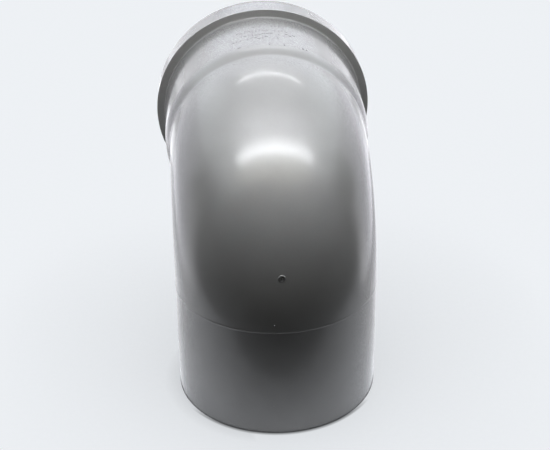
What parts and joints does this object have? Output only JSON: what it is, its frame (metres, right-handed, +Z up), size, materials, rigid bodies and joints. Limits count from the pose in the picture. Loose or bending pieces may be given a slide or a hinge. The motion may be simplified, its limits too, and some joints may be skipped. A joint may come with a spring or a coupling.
{
  "type": "push-fit drain pipe bend",
  "caption": "Grey plastic push-fit bend for drain pipe: a plain spigot, a tight near right-angle bend, and a socket whose collar holds a rubber lip seal.",
  "frame": {"origin": "centre of the spigot's end face, on the spigot's axis", "axes": "+Z up the spigot's axis towards the bend, +Y the side that the socket points to, +X to the side, square to the plane of the bend"},
  "size_m": [0.1244, 0.1712, 0.1844],
  "materials": {
    "body_plastic": "semi-gloss moulded grey polypropylene",
    "seal_rubber": "matt black rubber"
  },
  "bodies": {
    "root": {"bend_body": "body_plastic", "lip_seal": "seal_rubber"}
  },
  "joints": []
}
